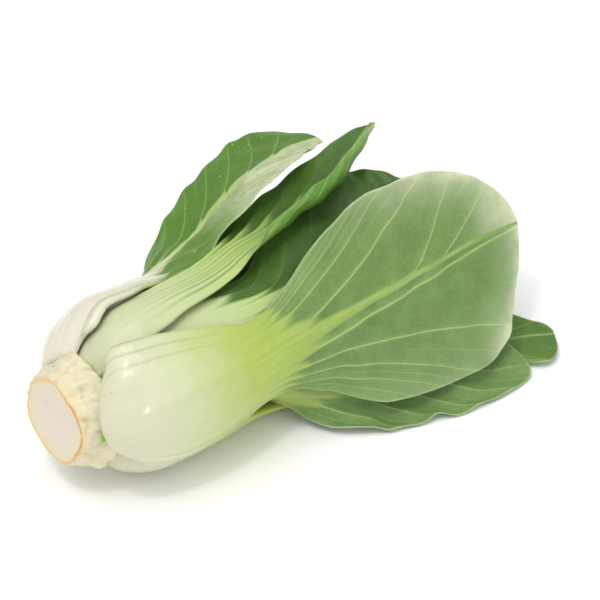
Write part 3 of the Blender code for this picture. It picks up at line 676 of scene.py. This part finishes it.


# Outer face of a mature leaf: a bloom of wax greys the green and dulls it, and the bare, juicy stalk is
# smooth and glossy. Towards the tip its margin is painted pale, a painted sheen. Its few whitish
# spots are painted glints.
grey_green = leaf_material(
    "waxy grey-green leaf",
    [(0.0, "D1CEB4"), (0.1, "D0D0B2"), (0.17, "C8CFA2"), (0.24, "B9C77E"), (0.31, "ABBF5A"), (0.38, "A2B953"),
     (0.46, "98B053"), (0.6, "93AC58"), (0.8, "8BA557"), (1.0, "86A053")],
    outside=("6F9050", "6E8E4B"), inside=("587F30", "587F30"),
    vein_outside=("A3B970", 0.85), vein_inside=("8FAE5A", 0.7), pale="D8DCBC", gloss=(0.13, 0.54),
    spots=("DCE2C8", 0.03),
)
front = Leaf(
    "outer_leaf_front", 20,
    [(9, 20.6), (11.5, 25.2), (17.5, 29.4), (29.5, 32), (48, 32), (72, 29), (95, 28, 1.5), (125, 28, 4),
     (155, 28, 6.5), (180, 27, 7.6), (197.5, 25, 6)],
    [(0, 13), (0.01, 20), (0.03, 25), (0.06, 28), (0.14, 27), (0.26, 21), (0.36, 15), (0.45, 19, 4),
     (0.57, 31, 5, 0, -8), (0.68, 36.5, 4, 0, -12), (0.8, 34.3, 3, 0, -12), (1, 22)],
    [(0, 9), (0.02, 13), (0.05, 18), (0.1, 25, 0, 0, 8), (0.16, 29, 0, 0, 8), (0.28, 26, 0, 0, 6), (0.36, 19),
     (0.46, 25, 4), (0.57, 39, 5, 0, -24), (0.71, 45, 4, 0, -24), (0.82, 46.5, 3, 0, -18), (1, 42)],
    OUTER_FLESH, 0.38, 0.79,
    stalk=[(0, 40), (0.33, 34), (0.38, 20), (0.43, 8.5), (0.48, 3.8), (0.54, 1.9), (0.62, 1.2), (0.74, 1.0),
           (1, 0.5)],
    veins_ahead=[(0.78, 0, 0.94, 0.8), (0.71, 0, 0.87, 0.8), (0.46, 4.5, 0.81, 0.95), (0.43, 10, 0.715, 0.8),
                 (0.41, 12.5, 0.65, 0.55), (0.4, 14, 0.56, 0.45)],
    veins_behind=[(0.46, 5.2, 1.0, 1.1), (0.455, 10.5, 0.91, 1.0), (0.445, 14.5, 0.775, 0.85),
                  (0.43, 17.5, 0.69, 0.7), (0.41, 20, 0.56, 0.6)],
    turn=[(0, 0), (0.3, 0), (0.5, 8), (1, 8)],
    ribs=[(0, 0.0), (0.2, 0.02), (0.32, 0.08), (0.42, 0.1), (0.5, 0.05), (1, 0)],
    waves=[(0, 0), (0.34, 0), (0.42, 0.5), (0.6, 0.4), (1, 0.6)],
    groove=0.9,
    pale_ahead=[(0, 0), (0.6, 0, 0.1), (0.74, 0, 0.6), (0.86, 0.05, 1), (0.94, 0.6, 1), (1, 0.95, 1)],
    pale_behind=[(0, 0), (0.8, 0, 0.2), (0.88, 0, 0.9), (0.95, 0.2, 1), (1, 0.8, 1)],
)
grow_leaf(front, 220, 72, grey_green, 101)

# ----------------------------------------
# Lower outer leaf. The head lies on it: its thick stalk clasps the plant from below, under the front
# leaf's, and its blade lies flat on the surface, inner side up, with its tip beyond the front leaf.
# It grew as one piece and is held only by its base on the stem.
# ----------------------------------------
below = Leaf(
    "outer_leaf_below", 298,
    [(14, 16.5), (19, 23.5), (29, 28.4), (46, 29), (72, 28.5), (86, 30, -1), (102, 32.5), (118, 34, 1),
     (150, 36.5, 5), (180, 41, 14), (202, 46, 24)],
    [(0, 12), (0.12, 22), (0.26, 18), (0.34, 7), (0.44, 4), (0.56, 4), (0.7, 4), (0.84, 4), (0.93, 17), (1, 27)],
    [(0, 10), (0.12, 18), (0.26, 20), (0.36, 17), (0.48, 14), (0.66, 18, 0, 0, 20), (0.84, 19.5, 0, 0, 20),
     (0.93, 16), (1, 9)],
    OUTER_FLESH, 0.34, 0.9,
    stalk=[(0, 40), (0.33, 34), (0.4, 16), (0.46, 7), (0.54, 3.2), (0.64, 1.6), (0.8, 0.8), (1, 0.4)],
    veins_ahead=[(0.8, 0, 0.97, 0.8), (0.7, 0, 0.9, 0.8), (0.58, 0, 0.8, 0.9), (0.46, 4, 0.7, 0.9),
                 (0.43, 8, 0.6, 0.8)],
    veins_behind=[(0.8, 0, 0.97, 0.8), (0.66, 0, 0.9, 0.9), (0.5, 3, 0.8, 1.0), (0.45, 7, 0.7, 0.9),
                  (0.42, 11, 0.58, 0.7)],
    turn=[(0, 0), (0.3, 0), (0.5, -28), (1, -28)],
    waves=[(0, 0), (0.36, 0), (0.5, 0.8), (1, 0.9)],
)
grow_leaf(below, 170, 52, grey_green, 202)

# ----------------------------------------
# Back outer leaf. Its broad, smooth white stalk rises from the far side of the stem. The blade is
# folded along its midrib. The wide half is bright green with small yellow spots. The narrow one is
# green near the stalk, and towards the tip it is painted nearly white in fine pleats: a painted sheen
# of glare, with green left in the creases.
# ----------------------------------------
MIDDLE_FLESH = [(0, 5.0, 3.0), (0.12, 5, 1.8), (0.3, 4, 1.2), (0.45, 2.6, 0.8), (0.6, 1.3, 0.6), (1, 0.7, 0.5)]
# Fresh leaf with little wax, so its green is clear and yellowish. The stalk is opaque and almost white.
bright_green = leaf_material(
    "waxy bright green leaf",
    [(0.0, "DCD6C6"), (0.14, "DCD7C4"), (0.26, "DAD7BE"), (0.36, "CDD3A4"), (0.46, "B7C67E"), (0.6, "A9BC6C"),
     (0.8, "ABBF74"), (1.0, "B4C382")],
    outside=("5C8428", "4F7F10"), inside=("3F7010", "3F7010"),
    vein_outside=("98B65C", 0.5), vein_inside=("8FAE5A", 0.6), pale="CBD2A8",
    spots=("B9C24A", 0.75), pleats=0.42,
)
back_leaf = Leaf(
    "outer_leaf_back", 150,
    [(9, 18), (14, 25), (26, 32), (46, 33), (66, 35.5), (80, 40, -1), (96, 47, -4), (114, 54.5, -6),
     (134, 59, -5), (151, 61, -1.5), (157.5, 61, 0.5)],
    [(0, 15), (0.14, 23), (0.28, 19), (0.36, 19), (0.46, 21), (0.62, 24), (0.78, 26), (0.9, 29), (1, 31)],
    [(0, 15), (0.1, 25, 0, 0, 8), (0.22, 22, 0, 0, 10), (0.3, 19, 0, 0, 6), (0.38, 17, -7), (0.49, 20.5, -17),
     (0.74, 25, -16), (0.88, 17, -16), (1, 9, -10)],
    OUTER_FLESH, 0.36, 0.82,
    turn=[(0, 0), (0.26, 0), (0.46, -40), (0.75, -43), (1, -53)],
    stalk=[(0, 40), (0.28, 34), (0.34, 15), (0.39, 5), (0.44, 2.4), (0.55, 1.6), (0.75, 1.1), (1, 0.6)],
    waves=[(0, 0), (0.36, 0), (0.5, 0.15), (1, 0.2)],
    pale_behind=[(0, 0), (0.5, 0), (0.6, 0.5, 0.7), (0.7, 0.95, 0.95), (1, 1, 1)],
)
grow_leaf(back_leaf, 170, 56, bright_green, 303)

# ----------------------------------------
# Low back leaf. A grey-green outer leaf, like the front one and grown in the same way, that the
# head lies on at the far side. It reaches out over the surface between the back and lower leaves.
# ----------------------------------------
low_back = Leaf(
    "outer_leaf_low_back", 224,
    [(14, 14), (20, 20), (31, 24.8), (48, 26), (74, 27), (100, 34.5, 1), (130, 43, -1), (160, 47.5, -4.5),
     (182, 48.5, -7)],
    [(0, 9), (0.14, 18), (0.32, 17), (0.4, 16), (0.52, 22), (0.7, 26), (0.86, 24), (1, 14)],
    [(0, 11), (0.14, 20), (0.32, 17), (0.4, 16), (0.52, 25, 0, 20), (0.7, 33, 0, 30), (0.86, 29, 0, 30), (1, 16)],
    MIDDLE_FLESH, 0.38, 0.82,
    turn=[(0, 0), (0.3, 0), (0.5, 42), (1, 42)],
)
grow_leaf(low_back, 130, 40, grey_green, 404)

# ----------------------------------------
# Top leaf. Its juicy, ribbed stalk lies along the top of the plant and is smooth at the base. One
# half of the blade is spread flat and dark, a deep green that is partly painted shade. The other is
# rolled right over the midrib, so that it shows its brighter inner side, which is painted pale towards
# the tip as a painted sheen. It grew as one piece, from the top of the stem.
# ----------------------------------------
# Leaf of deep green and some gloss. The very dark greens of its outer face are partly painted shade,
# for halves that lie in shadow. Its pale stalk is green in the furrows between its ribs.
dark_green_with_painted_shade = leaf_material(
    "waxy dark green leaf with painted shade",
    [(0.0, "CDCDB2"), (0.14, "C8CFA6"), (0.28, "BFCE98"), (0.4, "B4C77E"), (0.5, "A4BB66"), (0.6, "8AA854"),
     (0.8, "76964A"), (1.0, "729248")],
    outside=("40651F", "456A22"), inside=("568A28", "568A28"),
    vein_outside=("5F8038", 0.5), vein_inside=("9DBB66", 0.6), pale="A9BA84", gloss=(0.13, 0.36),
    furrows=0.9,
)
top_leaf = Leaf(
    "outer_leaf_top", 97,
    [(14, 14), (20, 20), (31, 26), (48, 28.2), (66, 29.3, 0.5), (87, 32, 3), (111, 36, 6.5), (130, 40, 9.8),
     (148, 47, 14.5), (161, 53, 18.5)],
    [(0, 11), (0.12, 21, 0, 0, 8), (0.28, 22), (0.38, 21), (0.47, 21), (0.58, 18.5), (0.75, 18.5), (0.9, 11.5),
     (1, 5)],
    [(0, 7), (0.1, 14), (0.2, 12), (0.3, 9), (0.42, 8, 0, -10), (0.5, 9, 0, -60), (0.58, 10.5, 0, -80, -100),
     (0.75, 12.5, 0, -80, -110), (0.9, 12, 0, -80, -90), (1, 6, 0, -90)],
    MIDDLE_FLESH, 0.4, 0.86,
    stalk=[(0, 40), (0.32, 30), (0.4, 17), (0.46, 11.5), (0.52, 8.5), (0.58, 6.5), (0.64, 4.2), (0.7, 2.5),
           (1, 0.8)],
    veins_ahead=[(0.82, 0.4, 0.97, 0.5), (0.66, 1.6, 0.9, 0.6), (0.56, 4, 0.8, 0.8), (0.5, 6.5, 0.7, 0.8),
                 (0.46, 9, 0.6, 0.8)],
    veins_behind=[(0.8, 0.4, 0.97, 0.5), (0.62, 1.8, 0.9, 0.6), (0.54, 4, 0.8, 0.8), (0.48, 6.5, 0.66, 0.8)],
    ribs=[(0, 0), (0.18, 0.06), (0.28, 0.35), (0.38, 0.7), (0.52, 0.7), (0.62, 0.3), (0.8, 0.1), (1, 0.1)],
    pale_behind=[(0, 0), (0.78, 0), (0.9, 0.2, 0.4), (1, 0.8, 0.9)],
)
grow_leaf(top_leaf, 170, 56, dark_green_with_painted_shade, 505)

# ----------------------------------------
# Inner leaves. Three younger, thinner leaves stand round the heart, each from its own base on the
# stem. One is dark, its deep green partly painted shade, and stands between the front and top leaves.
# One stands behind the top leaf. A low one is folded outwards, so its grey-green outer face shows
# beyond the front leaf's lower margin.
# ----------------------------------------
INNER_FLESH = [(0, 4.0, 2.4), (0.15, 4, 1.4), (0.35, 3, 1.0), (0.5, 2, 0.7), (0.7, 1.1, 0.6), (1, 0.7, 0.5)]
inner_top = Leaf(
    "inner_leaf_top", 60,
    [(18, 11), (25, 16.5), (39, 21.3), (58, 24), (78, 24.7), (105, 22, 2), (130, 21, 5), (155, 23, 9),
     (172, 25, 12)],
    [(0, 8), (0.14, 14), (0.42, 14), (0.55, 24, 0, 10), (0.72, 33, 0, 10), (0.86, 31, 0, 10), (1, 18)],
    [(0, 8), (0.14, 13), (0.42, 13), (0.55, 17, 0, 30), (0.72, 19, 0, 30), (0.88, 17, 0, 30), (1, 10)],
    INNER_FLESH, 0.4, 0.8,
    stalk=[(0, 40), (0.25, 30), (0.31, 14), (0.37, 5), (0.5, 2), (0.8, 1.2), (1, 0.6)],
    waves=[(0, 0), (0.45, 0), (0.6, 0.8), (1, 1.0)],
    wave_count=11.0,
    ribs=[(0, 0), (1, 0)],
)
grow_leaf(inner_top, 150, 50, dark_green_with_painted_shade, 606)
inner_back = Leaf(
    "inner_leaf_back", 188,
    [(18, 11), (25, 16), (37, 19.5), (56, 20), (80, 19.5), (105, 19.5), (130, 21), (150, 23)],
    [(0, 8), (0.14, 13), (0.42, 13), (0.55, 19, 0, 50), (0.72, 21, 0, 60), (0.88, 18, 0, 50), (1, 12)],
    [(0, 8), (0.14, 13), (0.32, 14), (0.42, 17), (0.55, 30, 0, 10), (0.72, 33, 0, 10), (0.88, 26, 0, 10),
     (1, 14)],
    INNER_FLESH, 0.42, 0.82,
)
grow_leaf(inner_back, 120, 40, grey_green, 707)
inner_below = Leaf(
    "inner_leaf_below", 322,
    [(18, 11), (25, 16), (37, 19.5), (56, 20.5), (76, 23), (90, 28, 1), (104, 33.5, 2), (118, 37, 3),
     (134, 40, 4), (148, 42, 4.5), (162, 42, 3), (177, 38)],
    [(0, 8), (0.14, 13), (0.36, 12), (0.46, 10, 20), (0.6, 12, 40), (0.8, 14, 40), (0.9, 14, 40), (1, 10, 30)],
    [(0, 8), (0.14, 13), (0.36, 11), (0.44, 9, -5), (0.5, 12, -15, -5), (0.56, 17, 0, -62, -5),
     (0.64, 21.5, 4, -82), (0.82, 24.5, -4, -80), (0.94, 26, -20, -52), (1, 25, -38, -20)],
    INNER_FLESH, 0.42, 0.94,
    turn=[(0, 0), (0.36, 0), (0.5, 50), (0.58, 63), (1, 66)],
    waves=[(0, 0), (0.45, 0), (0.6, 0.6), (1, 0.7)],
    wave_count=6.0,
    quilting=0.8,
)
grow_leaf(inner_below, 170, 50, grey_green, 808)

# ----------------------------------------
# Heart. Three small, tender leaves that clasp each other in the middle of the plant, round the tip
# of the stem that they grow from. Their blades have hardly spread and are still yellow-green.
# ----------------------------------------
HEART_FLESH = [(0, 3.0, 1.5), (0.3, 2.6, 1.0), (0.6, 1.4, 0.8), (1, 0.8, 0.7)]
HEART_HALF = [(0, 6), (0.2, 10), (0.45, 8.5), (0.7, 11.5), (0.9, 9), (1, 5)]
heart_spines = {
    ("heart_leaf_top", 110): [(24, 7.5), (32, 12), (46, 13.5), (80, 13), (118, 11)],
    ("heart_leaf_below", 230): [(26, 7), (34, 11.5), (48, 13), (76, 12.5), (104, 10.5)],
    ("heart_leaf_front", 350): [(28, 6.5), (36, 11), (48, 12.5), (72, 12), (92, 10)],
}
# Young leaf without wax, so light goes well into it and its green is light and yellowish.
yellow_green = leaf_material(
    "tender yellow-green leaf",
    [(0.0, "E6E6C8"), (0.3, "E2E8BC"), (0.5, "D0DC94"), (0.7, "BCCF78"), (1.0, "B4C970")],
    outside=("96B24E", "96B24E"), inside=("7FA23E", "7FA23E"),
    vein_outside=("C3D388", 0.7), vein_inside=("B4C970", 0.7), pale="D4DDAC",
)
for number, ((name, azimuth), spine) in enumerate(heart_spines.items()):
    heart = Leaf(name, azimuth, spine, HEART_HALF, HEART_HALF, HEART_FLESH, 0.98, 0.82)
    grow_leaf(heart, 60, 20, yellow_green, 901 + number * 7)

# ----------------------------------------
# Studio. A plain sheet of matt white paper, one large soft light overhead, a weaker one in front,
# two small windows that give the moist stalks their sharp highlights, and the camera.
# ----------------------------------------
bpy.ops.object.select_all(action="DESELECT")
bpy.ops.mesh.primitive_plane_add(size=6, location=(0, 0, 0))
floor = bpy.context.object
floor.name = "floor"
paper = bpy.data.materials.new("white paper sheet")
paper.use_nodes = True
shader = paper.node_tree.nodes["Principled BSDF"].inputs
shader["Base Color"].default_value = linear("FFFFFF")
shader["Roughness"].default_value = 0.9
floor.data.materials.append(paper)

VIEW_AZIMUTH = math.radians(-37)
VIEW_HEIGHT = math.radians(37)
VIEW_DISTANCE = 0.7
LENS, SENSOR_WIDTH = 114.2, 36
LOOKED_AT = Vector(CUT_CENTRE) + Vector((100, -10.7, 14.3)) * MM
back = Vector((math.sin(VIEW_AZIMUTH) * math.cos(VIEW_HEIGHT), -math.cos(VIEW_AZIMUTH) * math.cos(VIEW_HEIGHT),
               math.sin(VIEW_HEIGHT)))
bpy.ops.object.camera_add(location=LOOKED_AT + back * VIEW_DISTANCE)
camera = bpy.context.object
camera.rotation_euler = (-back).to_track_quat("-Z", "Y").to_euler()
camera.data.lens = LENS
camera.data.sensor_width = SENSOR_WIDTH
bpy.context.scene.camera = camera


def softbox(name, place, size, power):
    """A square soft light that looks at the plant from the given place, in metres from it."""
    bpy.ops.object.light_add(type="AREA", location=LOOKED_AT + Vector(place))
    lamp = bpy.context.object
    lamp.name = name
    lamp.rotation_euler = (-Vector(place)).to_track_quat("-Z", "Y").to_euler()
    lamp.data.size = size
    lamp.data.energy = power


softbox("key_light", (-0.35, 0.0, 1.1), 1.0, 7)
softbox("window_light", (-0.45, -0.2, 1.0), 0.1, 1.8)
softbox("low_window_light", (-0.22, -1.0, 0.38), 0.1, 0.7)
softbox("fill_light", (0.3, -1.0, 0.8), 1.2, 3.0)
ROOM_LIGHT = 0.58
world = bpy.data.worlds.new("bright room")
world.use_nodes = True
room = world.node_tree.nodes["Background"].inputs
room["Color"].default_value = linear("FFFFFF")
room["Strength"].default_value = ROOM_LIGHT
bpy.context.scene.world = world
bpy.context.scene.view_settings.view_transform = "Standard"
